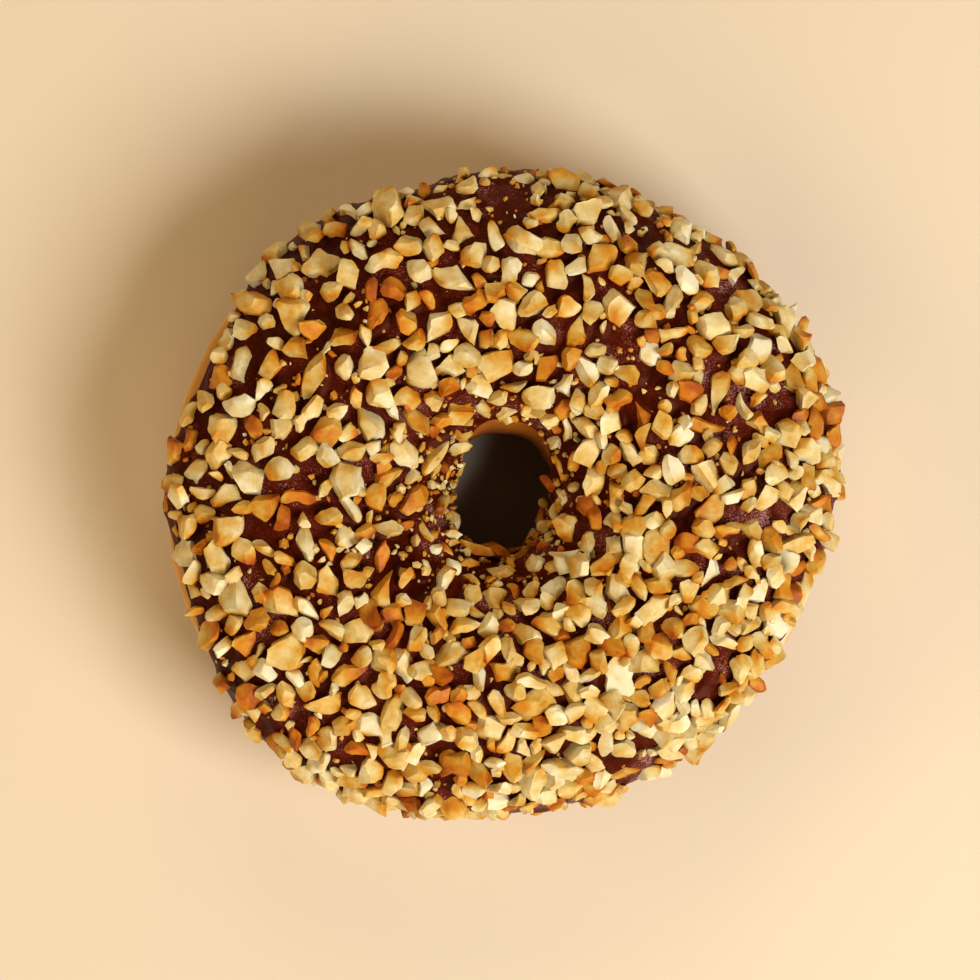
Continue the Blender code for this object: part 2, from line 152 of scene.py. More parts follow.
# Smaller pieces round the mouth of the hole, and four that stick out of the outline, likewise
RIM_PIECES = (
    (441, 505, 38, 17, 25), (415, 503, 40, 26, 60), (436, 455, 50, 16, 42), (459, 447, 26, 20, 30),
    (450, 472, 22, 14, 80), (460, 414, 32, 26, 10), (485, 412, 28, 20, -60), (508, 413, 26, 18, 30),
    (532, 412, 26, 24, 40), (565, 410, 25, 22, 80), (571, 432, 27, 19, 75), (564, 469, 30, 10, 88),
    (579, 460, 24, 13, 80), (540, 487, 27, 12, -50), (537, 511, 34, 13, 85), (560, 514, 22, 16, 70),
    (583, 504, 20, 18, 0), (515, 545, 22, 15, 65), (491, 554, 24, 15, 75), (470, 565, 26, 18, 25),
    (521, 561, 34, 13, 32), (516, 593, 24, 13, -80), (549, 547, 22, 18, 0), (556, 568, 24, 16, -40),
    (556, 589, 30, 20, 50), (473, 598, 28, 20, 60), (448, 551, 18, 16, 0), (429, 570, 22, 15, 75),
    (427, 533, 24, 14, -50), (467, 502, 20, 14, 80), (847, 458, 18, 9, 0), (444, 171, 16, 9, 70),
    (544, 817, 22, 18, -60), (166, 506, 22, 16, 80),
)
# How roasted those are, from 0, nearly white, over 0.3, cream, and 0.6, golden, to 1, orange-brown
GIVEN_ROASTS = (
    0.42, 0.36, 0.48, 0.32, 0.36, 0.50, 0.34, 0.80, 0.34, 0.50, 0.46, 0.04, 0.30, 0.66, 0.52, 0.30,
    0.12, 0.74, 0.60, 0.03, 0.62, 0.42, 0.12, 0.55, 0.56, 0.62, 0.56, 0.16, 0.05, 0.66, 0.14, 0.72,
    0.28, 0.54, 0.44, 0.46, 0.72, 0.56, 0.44, 0.62, 0.34, 0.64, 0.70, 0.62, 0.50, 0.40, 0.22, 0.66,
    0.50, 0.72, 0.42, 0.36, 0.80, 0.50, 0.25, 0.30, 0.34, 0.74, 0.25, 0.62, 0.72, 1.00, 0.80, 0.25,
    0.25, 0.85, 0.80, 0.70, 0.80, 0.80, 0.75, 0.50, 0.16, 0.36, 0.62, 0.40, 0.45, 0.30, 0.80, 0.60,
    0.55, 0.90,
)
# Places on the grid that no scattered piece lies on, and how wide each is
BARE_SPOTS = (
    (507, 212, 24), (325, 318, 10), (292, 232, 12), (262, 250, 10), (272, 345, 9), (346, 388, 9),
    (303, 385, 8), (646, 242, 13), (620, 340, 15), (645, 385, 16), (710, 372, 12), (705, 262, 9),
    (717, 300, 10), (772, 408, 14), (312, 472, 13), (412, 552, 14), (424, 590, 12), (275, 528, 8),
    (264, 571, 8), (675, 412, 8), (735, 432, 8), (526, 579, 10), (277, 719, 10), (229, 661, 9),
    (348, 747, 8), (306, 713, 8), (462, 672, 9), (447, 776, 9), (610, 753, 9), (641, 748, 11),
    (632, 776, 9), (660, 454, 10), (737, 473, 8), (774, 513, 7), (729, 549, 8), (679, 519, 7),
    (715, 661, 8), (703, 683, 8), (481, 430, 6), (500, 428, 8), (522, 430, 8), (541, 440, 8),
    (555, 458, 5), (520, 813, 8), (545, 808, 9), (572, 803, 9), (646, 785, 8), (488, 818, 5),
    (177, 524, 6), (177, 544, 6), (179, 564, 6), (183, 582, 6), (208, 385, 6), (222, 352, 6),
    (236, 330, 5), (203, 404, 5), (814, 580, 6), (806, 602, 6), (795, 626, 6), (782, 650, 6),
    (764, 674, 6), (418, 196, 5), (436, 191, 5), (452, 188, 4),
)

Piece = namedtuple("Piece", "number kind sizes heading lean roll turn across here out roast rise")

# Fineness of the shapes
DOUGH_TURNS = 300
DOUGH_SECTION = 118
# Inside the hole the crust is darker: partly browner crust, partly painted shade that deepens below
# the next height
HOLE_BAKE_AND_SHADE = 0.66
HOLE_SHADE_BELOW = 22.0 * MM
# the side painted paler, partly as painted light from the key light's side
PALE_LIT_SIDE = math.radians(-25)
ICING_TURNS = 440
ICING_OUTER_STEPS = 132
ICING_INNER_STEPS = 24
PLAIN_RADIUS = 3.0
PLAIN_PER_METRE = 0.1 / MM

# Camera and light
FLOOR_HALF = 1.5
FLOOR_GAP = 0.05 * MM  # so that the floor and the flat underside don't share a plane
CAMERA_HEIGHT = 0.62
VIEW_WIDTH = 132.0 * MM  # of the picture, at the level of the crown's lower half
VIEW_LEVEL = 15.0 * MM
VIEW_MIDDLE = Vector((-0.75 * MM, 0.42 * MM))  # from the ring's middle


# The ring's own shape


def outer_radius(turn):
    return (
        RING_RADIUS
        + RING_OVAL * math.cos(2 * (turn - RING_OVAL_AT))
        + RING_LOBE * math.cos(3 * (turn - RING_LOBE_AT))
    )


def neck_radius(turn):
    shift = HOLE_SHIFT.x * math.cos(turn) + HOLE_SHIFT.y * math.sin(turn)
    return HOLE_RADIUS + HOLE_OVAL * math.cos(2 * (turn - HOLE_OVAL_AT)) + shift


def swell(turn, phi):
    """Slow lumps, which fade out towards the flat."""
    lumps = (
        0.5 * math.sin(3 * turn + 1.3 + 0.8 * math.sin(phi))
        + 0.35 * math.sin(5 * turn - 2 * phi)
        + 0.3 * math.sin(8 * turn + phi + 0.6)
    )
    return SWELL * lumps * 0.5 * (1 + math.sin(phi))


def squared(value):
    return math.copysign(abs(value) ** (2 / SQUARENESS), value)


def ring_point(turn, phi, lift):
    """The point at an angle round the ring and an angle round its section, lift above the dough."""
    outer, neck = outer_radius(turn), neck_radius(turn)
    drop = CROWN_RISE if math.sin(phi) >= 0 else UNDERSIDE_DROP
    raised = lift + swell(turn, phi)
    radius = (outer + neck) / 2 + ((outer - neck) / 2 + raised) * squared(math.cos(phi))
    height = WAIST_HEIGHT + (drop + raised) * squared(math.sin(phi))
    return Vector((radius * math.cos(turn), radius * math.sin(turn), max(height, 0.0)))


def edge_at(edges_deg, turn):
    """The icing's edge at this turn, by a smooth curve through the even steps."""
    place = (turn % ROUND) / ROUND * len(edges_deg)
    step = int(place) % len(edges_deg)
    before, here, after, beyond = (edges_deg[(step + k) % len(edges_deg)] for k in (-1, 0, 1, 2))
    t = place - int(place)
    value = 0.5 * (
        2 * here
        + (after - before) * t
        + (2 * before - 5 * here + 4 * after - beyond) * t**2
        + (3 * here - before - 3 * after + beyond) * t**3
    )
    return math.radians(value)


def icing_phi(turn, across):
    """Section angle at a share of the way across the icing, from 0 outside to 1 in the hole."""
    outer = edge_at(OUTER_EDGE_DEG, turn)
    return outer + across * (edge_at(INNER_EDGE_DEG, turn) - outer)


def frame_on_icing(turn, across):
    """Point on the icing's top, the way along the ring, the way across it and the way out."""
    step = 1e-3
    phi = icing_phi(turn, across)
    here = ring_point(turn, phi, ICING_TOP)
    along = (ring_point(turn + step, phi, ICING_TOP) - here).normalized()
    over = (ring_point(turn, phi + step, ICING_TOP) - here).normalized()
    out = along.cross(over)
    if out.dot(Vector((0, 0, 1)) * math.sin(phi) + here.xy.to_3d() * math.cos(phi)) < 0:
        out = -out
    out.normalize()
    return here, along, out.cross(along), out


# Where the nuts lie


def nut_lengths():
    """Lengths of all the pieces on the ring, longest first."""
    draw = np.random.default_rng(NUT_SEED)
    lengths = NUT_MEDIAN * np.exp(NUT_SPREAD * draw.standard_normal(NUTS_ON_RING))
    bits = BIT_MEDIAN * np.exp(NUT_SPREAD * draw.standard_normal(BITS_ON_RING))
    return sorted(np.minimum(lengths, NUT_LARGEST), reverse=True) + sorted(bits, reverse=True)


def nut_proportions(draw):
    """Its kind, and width and thickness as shares of the length."""
    kind = draw.random()
    if kind < 0.50:
        return "chunk", draw.uniform(0.66, 0.92), draw.uniform(0.44, 0.62)
    if kind < 0.78:
        return "slice", draw.uniform(0.42, 0.58), draw.uniform(0.34, 0.46)
    return "flake", draw.uniform(0.68, 0.88), draw.uniform(0.30, 0.38)


def chance_roast(draw):
    """Most pieces are cream to golden, some orange-brown and a few nearly white."""
    kind = draw.random()
    if kind < 0.06:
        return draw.uniform(0.0, 0.14)
    if kind < 0.64:
        return draw.uniform(0.22, 0.48)
    if kind < 0.92:
        return draw.uniform(0.48, 0.70)
    return draw.uniform(0.74, 1.0)


def nut_sink(thickness):
    return min(NUT_SINK * thickness, NUT_SINK_MOST)


def on_grid(right, down):
    """A place on the grid as seen from above, in metres."""
    return Vector((right - GRID_MIDDLE[0], GRID_MIDDLE[1] - down)) * GRID


def across_at(turn, radius):
    """How far across the icing a point seen from above at this radius is."""
    nearer, further = 1.0, 0.0
    for _ in range(20):
        middle = (nearer + further) / 2
        if frame_on_icing(turn, middle)[0].xy.length > radius:
            further = middle
        else:
            nearer = middle
    return min(max(middle, EDGE_CLEAR), 1 - EDGE_CLEAR)


def given_pieces():
    """The pieces whose places are given."""
    made = []
    for number, (right, down, length, width, heading) in enumerate(LARGE_PIECES + RIM_PIECES):
        draw = np.random.default_rng((NUT_SEED, 1, number))
        thickness = draw.uniform(0.36, 0.5) * (length + width) / 2
        seen = on_grid(right, down)
        turn = math.atan2(seen.y, seen.x)
        across = across_at(turn, seen.length)
        here, _, _, out = frame_on_icing(turn, across)
        # the icing's own first direction runs along the ring, a quarter turn on from outwards
        on_icing = math.radians(heading) - turn - math.pi / 2
        kind = "slice" if width < 0.6 * length else "chunk"
        sizes = (length * GRID, width * GRID, thickness * GRID)
        lean, roll = draw.normal(0, NUT_LEAN), draw.normal(0, NUT_LEAN)
        roast = GIVEN_ROASTS[number]
        made.append(
            Piece(number, kind, sizes, on_icing, lean, roll, turn, across, here, out, roast, 0.0)
        )
    return made


def keeps_clear(here, out, sizes):
    """True if a piece here leaves the hole, the outline and the bare spots free."""
    top = here + out * (sizes[2] - nut_sink(sizes[2]))
    if (top.xy - HOLE_SHIFT).length < HOLE_CLEAR:
        return False
    if top.xy.length > outer_radius(math.atan2(top.y, top.x)) + OUTLINE_CLEAR:
        return False
    for right, down, radius in BARE_SPOTS:
        if (here.xy - on_grid(right, down)).length < radius * GRID + 0.3 * sizes[0]:
            return False
    return True


def thinning(here):
    """How much further apart than usual the small pieces lie here."""
    near_hole = (THIN_OUT_TO - (here.xy - HOLE_SHIFT).length) / (THIN_OUT_TO - HOLE_RADIUS)
    aside = THINNING * here.xy.dot(THIN_SIDE) / RING_RADIUS
    return aside + THIN_ROUND_HOLE * min(max(near_hole, 0), 1)


def scattered_pieces():
    """The given pieces, then the rest, largest first, each where a random place is still free."""
    made = given_pieces()
    places = np.array([piece.here for piece in made])
    reaches = np.array([piece.sizes[0] for piece in made])
    draw = np.random.default_rng(NUT_SEED)
    widest = outer_radius(RING_OVAL_AT)
    for number, length in enumerate(nut_lengths()):
        small = number >= NUTS_IN_SOLID
        spacing = NUT_SPACING_SMALL if small else NUT_SPACING
        shaping = np.random.default_rng((NUT_SEED, 2, number))
        kind, width, thickness = nut_proportions(shaping)
        sizes = (length, length * width, length * thickness)
        heading = shaping.uniform(0, ROUND)
        leaning = NUT_LEAN_SMALL if small else NUT_LEAN
        lean, roll = shaping.normal(0, leaning), shaping.normal(0, leaning)
        roast = chance_roast(shaping)
        for _ in range(NUT_TRIES):
            turn = draw.uniform(0, ROUND)
            across = draw.uniform(EDGE_CLEAR, 1 - EDGE_CLEAR)
            share_of_widest = draw.random()
            here, _, _, out = frame_on_icing(turn, across)
            if here.xy.length < share_of_widest * widest or not keeps_clear(here, out, sizes):
                continue
            apart = np.linalg.norm(places - np.array(here), axis=1)
            thinner = 1 + thinning(here) if small else 1.0
            if np.all(apart > spacing * thinner * (length + reaches)):
                # one that crowds its neighbours lies partly on them
                crowding = float(np.max(1 - apart / (NUT_SPACING * (length + reaches))))
                rise = NUT_RISE * max(crowding, 0.0) * out.z if small and out.z > 0 else 0.0
                lie = (heading, lean, roll, turn, across, here, out)
                made.append(Piece(number, kind, sizes, *lie, roast, rise))
                places = np.vstack((places, here))
                reaches = np.append(reaches, length)
                break
    return made


# Meshes


def plain_section(points):
    """Section points (share of a half turn, lift) as places on the plain torus."""
    placed = []
    for share, lift in points:
        radius = 1 + lift * PLAIN_PER_METRE
        angle = math.pi * share
        placed.append((PLAIN_RADIUS + radius * math.cos(angle), 0.0, radius * math.sin(angle)))
    return placed


def spun_ring(section, turns):
    """A closed section spun round Z into a plain torus."""
    shape = bmesh.new()
    corners = [shape.verts.new(place) for place in section]
    edges = [shape.edges.new((corners[k - 1], corners[k])) for k in range(len(corners))]
    bmesh.ops.spin(
        shape,
        geom=corners + edges,
        cent=(0, 0, 0),
        axis=(0, 0, 1),
        angle=ROUND,
        steps=turns,
        use_merge=True,
        use_duplicate=False,
    )
    bmesh.ops.remove_doubles(shape, verts=shape.verts, dist=1e-6)
    bmesh.ops.recalc_face_normals(shape, faces=shape.faces)
    return shape


def shape_ring(shape, place):
    """Moves each vertex of a plain torus to place(turn, share of a half turn, lift)."""
    for vert in shape.verts:
        turn = math.atan2(vert.co.y, vert.co.x)
        side = vert.co.xy.length - PLAIN_RADIUS
        share = (math.atan2(vert.co.z, side) % ROUND) / math.pi
        lift = (math.hypot(side, vert.co.z) - 1) / PLAIN_PER_METRE
        vert.co = place(turn, share, lift)


def finished(name, shape, finish, sharp_deg=None):
    """A piece from its bmesh."""
    mesh = bpy.data.meshes.new(name)
    shape.to_mesh(mesh)
    shape.free()
    return dressed(name, mesh, finish, sharp_deg)


def dressed(name, mesh, finish, sharp_deg):
    """An object of the mesh, with its finish, in its place on the root body."""
    mesh.transform(Matrix.Translation(RING_SHIFT))
    mesh.materials.append(finish)
    mesh.shade_smooth()
    if sharp_deg:
        mesh.set_sharp_from_angle(angle=math.radians(sharp_deg))
    made = bpy.data.objects.new(name, mesh)
    bpy.context.scene.collection.objects.link(made)
    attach(made, "root")
    return made


def fine_noise(place, per_mm, seed):
    """Noise from about -1 to 1, with so many waves to the millimetre."""
    return noise.noise(place * (per_mm / MM) + Vector((seed, 3.7 * seed, -1.9 * seed)))


def make_dough(finish):
    flat_half = math.pi / 2 - math.asin((WAIST_HEIGHT / UNDERSIDE_DROP) ** (SQUARENESS / 2))
    first = -math.pi / 2 + flat_half
    last = 3 * math.pi / 2 - flat_half
    angles = [first + (last - first) * k / (DOUGH_SECTION - 1) for k in range(DOUGH_SECTION)]
    section = plain_section([(angle / math.pi, 0.0) for angle in angles])
    shape = spun_ring(section, DOUGH_TURNS)

    def place(turn, share, lift):
        phi = math.pi * share
        here = ring_point(turn, phi, 0.0)
        # the crust is finely wrinkled, with a few broad blisters, and stays flat underneath
        wrinkles = 0.05 * fine_noise(here, 1.1, 3.0) + 0.09 * fine_noise(here, 0.35, 8.0)
        blister = max(0.0, fine_noise(here, 0.16, 21.0) - 0.25) * 0.35
        raised = (wrinkles + blister - 0.12) * MM
        if here.z < 0.3 * MM:
            return here
        return ring_point(turn, phi, raised * min(here.z / (2 * MM), 1.0))

    shape_ring(shape, place)
    bake_light_and_shade = shape.verts.layers.float.new("bake_light_and_shade")
    for vert in shape.verts:
        # one side is paler: partly a paler fry, partly painted light on the side toward the key
        # light
        lit_paler = max(0.0, math.cos(math.atan2(vert.co.y, vert.co.x) - PALE_LIT_SIDE))
        vert[bake_light_and_shade] = vert.co.z / (32 * MM) - 0.15 * lit_paler
        if vert.co.xy.length < (RING_RADIUS + HOLE_RADIUS) / 2:
            # inside the hole the crust is browner and the pale band where the ring floated is hardly
            # seen; lower down it darkens with depth as painted shade
            shade_deeper = max(0.0, 1 - vert.co.z / HOLE_SHADE_BELOW)
            vert[bake_light_and_shade] = max(vert[bake_light_and_shade], HOLE_BAKE_AND_SHADE + 0.8 * shade_deeper)
    return finished("dough_ring", shape, finish)


def icing_section():
    """The icing's closed section: over its outside, rounded at each edge, and back in the dough."""
    outside = [(0.0, ICING_TUCK)]
    for k in range(ICING_EDGE_STEPS):
        share = k / ICING_EDGE_STEPS
        outside.append((ICING_ROUND_SHARE * share, ICING_TOP * math.sqrt(1 - (1 - share) ** 2)))
    for k in range(ICING_OUTER_STEPS):
        share = ICING_ROUND_SHARE + (1 - 2 * ICING_ROUND_SHARE) * k / (ICING_OUTER_STEPS - 1)
        outside.append((share, ICING_TOP))
    for k in reversed(range(ICING_EDGE_STEPS)):
        share = k / ICING_EDGE_STEPS
        lift = ICING_TOP * math.sqrt(1 - (1 - share) ** 2)
        outside.append((1 - ICING_ROUND_SHARE * share, lift))
    outside.append((1.0, ICING_TUCK))
    underneath = []
    for k in range(1, ICING_INNER_STEPS):
        underneath.append((1 - k / ICING_INNER_STEPS, ICING_UNDERNEATH))
    return outside + underneath


def raise_round_nuts(shape, pieces):
    """The icing climbs a little up each nut pressed into it."""
    tree = kdtree.KDTree(len(shape.verts))
    for vert in shape.verts:
        tree.insert(vert.co, vert.index)
    tree.balance()
    rise = np.zeros(len(shape.verts))
    for piece in pieces:
        here, along, over, _ = frame_on_icing(piece.turn, piece.across)
        first = along * math.cos(piece.heading) + over * math.sin(piece.heading)
        second = over * math.cos(piece.heading) - along * math.sin(piece.heading)
        half_length, half_width = piece.sizes[0] * 0.46, piece.sizes[1] * 0.46
        for place, index, _ in tree.find_range(here, half_length + 1.2 * MM):
            away = place - here
            reach = math.hypot(away.dot(first) / half_length, away.dot(second) / half_width)
            beyond = max(reach - 1, 0.0) * half_width
            lifted = 0.42 * MM * math.exp(-((beyond / (0.38 * MM)) ** 2))
            rise[index] = max(rise[index], lifted)
    return rise


def make_icing(finish, pieces):
    shape = spun_ring(plain_section(icing_section()), ICING_TURNS)
    shape.verts.index_update()
    radii = [math.hypot(vert.co.xy.length - PLAIN_RADIUS, vert.co.z) for vert in shape.verts]
    lifts = (np.array(radii) - 1) / PLAIN_PER_METRE
    outside = np.clip(lifts / ICING_TOP, 0.0, 1.0)
    shape_ring(shape, lambda turn, share, lift: ring_point(turn, icing_phi(turn, share), lift))
    shape.normal_update()
    rise = raise_round_nuts(shape, pieces)
    ways = [vert.normal.copy() for vert in shape.verts]
    for vert in shape.verts:
        slow = 0.16 * fine_noise(vert.co, 0.22, 5.0) + 0.07 * fine_noise(vert.co, 0.55, 9.0)
        quick = 0.035 * fine_noise(vert.co, 1.5, 13.0)
        amount = (slow + quick) * MM + rise[vert.index]
        vert.co += ways[vert.index] * amount * outside[vert.index]
    icing = finished("chocolate_icing", shape, finish)
    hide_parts("icing_with_nuts")


def nut_cuts(kind, draw):
    """The planes that chopping left on a ball of radius 1: way out, distance, and how hollow."""
    cuts = [(Vector((draw.uniform(-0.2, 0.2), draw.uniform(-0.2, 0.2), -1)), 0.60, 1.0)]
    slope, heading = draw.uniform(0.0, 0.5), draw.uniform(0, ROUND)
    top = Vector((slope * math.cos(heading), slope * math.sin(heading), 1))
    cuts.append((top, draw.uniform(0.26, 0.66), draw.uniform(0.85, 1.12)))
    sides = {"chunk": 5, "slice": 3, "flake": 5}[kind]
    first = draw.uniform(0, ROUND)
    for k in range(sides):
        heading = first + (k + draw.uniform(-0.38, 0.38)) * ROUND / sides
        slope = draw.uniform(-0.15, 0.7)
        way = Vector((math.cos(heading), math.sin(heading), slope))
        cuts.append((way, draw.uniform(0.34, 0.78), draw.uniform(0.9, 1.12)))
    return cuts


def chopped(corners, kind, draw):
    """Moves the corners of a ball to a chopped piece's, and says how much each is still skin."""
    skin = np.ones(len(corners))
    for way, distance, hollow in nut_cuts(kind, draw):
        way = np.array(way.normalized())
        beyond = corners @ way - distance
        cut = beyond > 0
        corners[cut] -= np.outer(beyond[cut] * hollow, way)
        skin[cut] = 0.0
    seed = draw.uniform(0, 50, 3)
    for k, corner in enumerate(corners):
        place = Vector(corner + seed)
        coarse, fine = noise.noise(place * 1.5), noise.noise(place * 4.6)
        corners[k] *= 1 + 0.13 * coarse + (0.04 + 0.06 * (1 - skin[k])) * fine
    if kind == "slice":
        corners[:, 1] += draw.uniform(-0.4, 0.4) * corners[:, 0] ** 2
    if draw.random() < LOBED_SHARE:
        # the two lobes of a kernel that came apart at its waist
        corners[:, 1] *= 1 - 0.38 * np.exp(-((corners[:, 0] / 0.3) ** 2))
    return skin


def fitted(corners, sizes):
    """Corners stretched to fill a box of these sizes round the origin."""
    low, high = corners.min(axis=0), corners.max(axis=0)
    return ((corners - low) / (high - low) - 0.5) * np.array(sizes)


def lie_of(piece):
    """The piece's turn on the icing, as a matrix, and the way out of the icing there."""
    _, along, over, out = frame_on_icing(piece.turn, piece.across)
    turned = Matrix.Rotation(piece.heading, 3, "Z") @ Matrix.Rotation(piece.lean, 3, "Y")
    turned = Matrix((along, over, out)).transposed() @ turned @ Matrix.Rotation(piece.roll, 3, "X")
    return np.array(turned), np.array(out)


def plain_ball(cuts):
    """Corners and triangles of a ball: an icosahedron with each edge cut this many times."""
    shape = bmesh.new()
    bmesh.ops.create_icosphere(shape, subdivisions=1, radius=1.0)
    if cuts:
        bmesh.ops.subdivide_edges(shape, edges=shape.edges, cuts=cuts, use_grid_fill=True)
    bmesh.ops.triangulate(shape, faces=shape.faces)
    bmesh.ops.recalc_face_normals(shape, faces=shape.faces)
    corners = np.array([vert.co.normalized() for vert in shape.verts])
    shape.verts.index_update()
    faces = np.array([[vert.index for vert in face.verts] for face in shape.faces])
    shape.free()
    return corners, faces


def nut_corners(piece, number, ball, room):
    """One chopped piece in its place: its corners, and their skin, roast and tone.

    What would stick out of the room, the box that the solids fill, is pushed back inside.
    """
    draw = np.random.default_rng((NUT_SEED, 3, number))
    corners = ball.copy()
    skin = chopped(corners, piece.kind, draw)
    corners = fitted(corners, piece.sizes)
    towards = draw.standard_normal(3)
    side = corners @ (towards / np.linalg.norm(towards)) / piece.sizes[0]
    turned, out = lie_of(piece)
    placed = corners @ turned.T
    lowest = float((placed @ out).min())
    placed += np.array(piece.here) - out * (lowest + nut_sink(piece.sizes[2]) - piece.rise)
    below = np.maximum(room[0] - placed.min(axis=0), 0)
    placed += below - np.maximum(placed.max(axis=0) - room[1], 0)
    roast = piece.roast + ROAST_ACROSS * side + ROAST_END * np.maximum(side - 0.16, 0)
    return placed, np.stack((skin, roast, np.full(len(skin), draw.random())), axis=1)


def joined_mesh(name, parts, finish, sharp_deg):
    """One mesh of many small pieces; parts are (corners, triangles, skin with roast and tone)."""
    starts = np.cumsum([0] + [len(corners) for corners, _, _ in parts])[:-1]
    corners = np.concatenate([corners for corners, _, _ in parts])
    faces = np.concatenate([faces + start for (_, faces, _), start in zip(parts, starts)])
    values = np.concatenate([values for _, _, values in parts])
    mesh = bpy.data.meshes.new(name)
    mesh.from_pydata(corners.tolist(), [], faces.tolist())
    for column, layer in enumerate(("skin", "roast", "tone")):
        mesh.attributes.new(layer, "FLOAT", "POINT").data.foreach_set("value", values[:, column])
    return dressed(name, mesh, finish, sharp_deg)


def make_nuts(finish, pieces, room):
    """All the nut pieces, as one joined mesh for each kind; the largest are the finest."""
    balls = {cuts: plain_ball(cuts) for cuts in (1, 2, 3)}
    for kind in ("chunk", "slice", "flake"):
        parts = []
        for number, piece in enumerate(pieces):
            if piece.kind == kind:
                length = piece.sizes[0]
                corners, faces = balls[1 + (length > FINER_NUTS) + (length > FINEST_NUTS)]
                placed, values = nut_corners(piece, number, corners, room)
                parts.append((placed, faces, values))
        joined_mesh(f"nut_{kind}s", parts, finish, NUT_SHARP_DEG)


def make_crumbs(finish):
    """The bits and dust of chopping: in the gaps between the pieces and on them."""
    draw = np.random.default_rng((NUT_SEED, 5))
    ball, faces = plain_ball(0)
    parts = []
    for _ in range(CRUMBS):
        turn, across = draw.uniform(0, ROUND), draw.uniform(CRUMB_EDGE_CLEAR, 1 - CRUMB_EDGE_CLEAR)
        here, _, _, out = frame_on_icing(turn, across)
        size = CRUMB_SIZE * math.exp(CRUMB_SPREAD * draw.standard_normal())
        spin = np.array(Matrix.Rotation(draw.uniform(0, ROUND), 3, Vector(draw.standard_normal(3))))
        corners = ball * draw.uniform(0.6, 1.1, (len(ball), 1)) * draw.uniform(0.6, 1.5, 3) * size
        corners = corners @ spin.T + np.array(here + out * size * draw.uniform(0.2, 0.9))
        values = np.tile((draw.random(), chance_roast(draw), draw.random()), (len(ball), 1))
        parts.append((corners, faces, values))
    joined_mesh("nut_crumbs", parts, finish, CRUMB_SHARP_DEG)


# Finishes


def linear(hex_colour):
    """An sRGB hex colour as linear values."""
    channels = [int(hex_colour[k : k + 2], 16) / 255 for k in (1, 3, 5)]
    return [c / 12.92 if c <= 0.04045 else ((c + 0.055) / 1.055) ** 2.4 for c in channels]


def node(tree, kind, links=(), **settings):
    """Adds a node; links are (socket here, source), and settings go to sockets or the node."""
    made = tree.nodes.new(kind)
    for key, value in settings.items():
        if hasattr(made, key):
            setattr(made, key, value)
        else:
            made.inputs[key.replace("_", " ")].default_value = value
    for socket, source in links:
        tree.links.new(source, made.inputs[socket])
    return made


def ramp(tree, source, stops):
    """A colour ramp over a value; stops are (place, hex colour)."""
    made = node(tree, "ShaderNodeValToRGB", [(0, source)])
    made.color_ramp.elements[0].position = stops[0][0]
    made.color_ramp.elements[0].color = (*linear(stops[0][1]), 1)
    made.color_ramp.elements[1].position = stops[-1][0]
    made.color_ramp.elements[1].color = (*linear(stops[-1][1]), 1)
    for place, colour in stops[1:-1]:
        made.color_ramp.elements.new(place).color = (*linear(colour), 1)
    return made.outputs["Color"]


def new_finish(name):
    made = bpy.data.materials.new(name)
    made.use_nodes = True
    return made, made.node_tree, made.node_tree.nodes["Principled BSDF"]


def pattern(tree, place, per_mm, **settings):
    """Noise over the object, with so many waves to the millimetre."""
    return node(
        tree, "ShaderNodeTexNoise", [("Vector", place)], Scale=per_mm / MM, **settings
    ).outputs["Fac"]


def roasted_peanut():
    """Roasted peanut, chopped: cream inside, golden to orange-brown where the roast reached it."""
    made, tree, shader = new_finish("roasted_peanut")
    place = node(tree, "ShaderNodeTexCoord").outputs["Object"]
    skin = node(tree, "ShaderNodeAttribute", attribute_name="skin").outputs["Fac"]
    roast = node(tree, "ShaderNodeAttribute", attribute_name="roast").outputs["Fac"]
    tone = node(tree, "ShaderNodeAttribute", attribute_name="tone").outputs["Fac"]
    blotch = pattern(tree, place, 0.45, Detail=3.0, Roughness=0.55)
    fine = pattern(tree, place, 3.2, Detail=4.0, Roughness=0.6)
    # how roasted this spot is: the piece's own roast, more on the kernel's outside, in blotches
    on_skin = node(tree, "ShaderNodeMath", [(0, skin)], operation="MULTIPLY")
    on_skin.inputs[1].default_value = 0.26
    blotched = node(tree, "ShaderNodeMath", [(0, blotch)], operation="MULTIPLY_ADD")
    blotched.inputs[1].default_value = 1.1
    blotched.inputs[2].default_value = -0.62
    grown = node(tree, "ShaderNodeMath", [(0, roast), (1, on_skin.outputs[0])], operation="ADD")
    both = [(0, grown.outputs[0]), (1, blotched.outputs[0])]
    spot = node(tree, "ShaderNodeMath", both, operation="ADD")
    colour = ramp(
        tree,
        spot.outputs[0],
        (
            (0.0, "#E6E5CA"),
            (0.20, "#DDCF9C"),
            (0.42, "#D0B264"),
            (0.60, "#C8932B"),
            (0.80, "#C0741A"),
            (1.0, "#9E520F"),
        ),
    )
    dusted = node(tree, "ShaderNodeHueSaturation", [("Color", colour)])
    lighter = node(tree, "ShaderNodeMath", [(0, tone)], operation="MULTIPLY_ADD")
    lighter.inputs[1].default_value = 0.18
    lighter.inputs[2].default_value = 0.88
    tree.links.new(lighter.outputs[0], dusted.inputs["Value"])
    tree.links.new(dusted.outputs["Color"], shader.inputs["Base Color"])
    shader.inputs["Roughness"].default_value = 0.52
    shader.inputs["IOR"].default_value = 1.46
    shader.inputs["Specular IOR Level"].default_value = 0.32
    shader.inputs["Subsurface Weight"].default_value = 0.05
    shader.inputs["Subsurface Radius"].default_value = (1.0, 0.62, 0.30)
    shader.inputs["Subsurface Scale"].default_value = 1.2 * MM
    # the broken flesh is finely grained
    bump = node(tree, "ShaderNodeBump", [("Height", fine)], Strength=0.35, Distance=0.12 * MM)
    relief = [("Height", blotch), ("Normal", bump.outputs[0])]
    coarse = node(tree, "ShaderNodeBump", relief, Strength=0.5, Distance=0.35 * MM)
    tree.links.new(coarse.outputs[0], shader.inputs["Normal"])
    return made


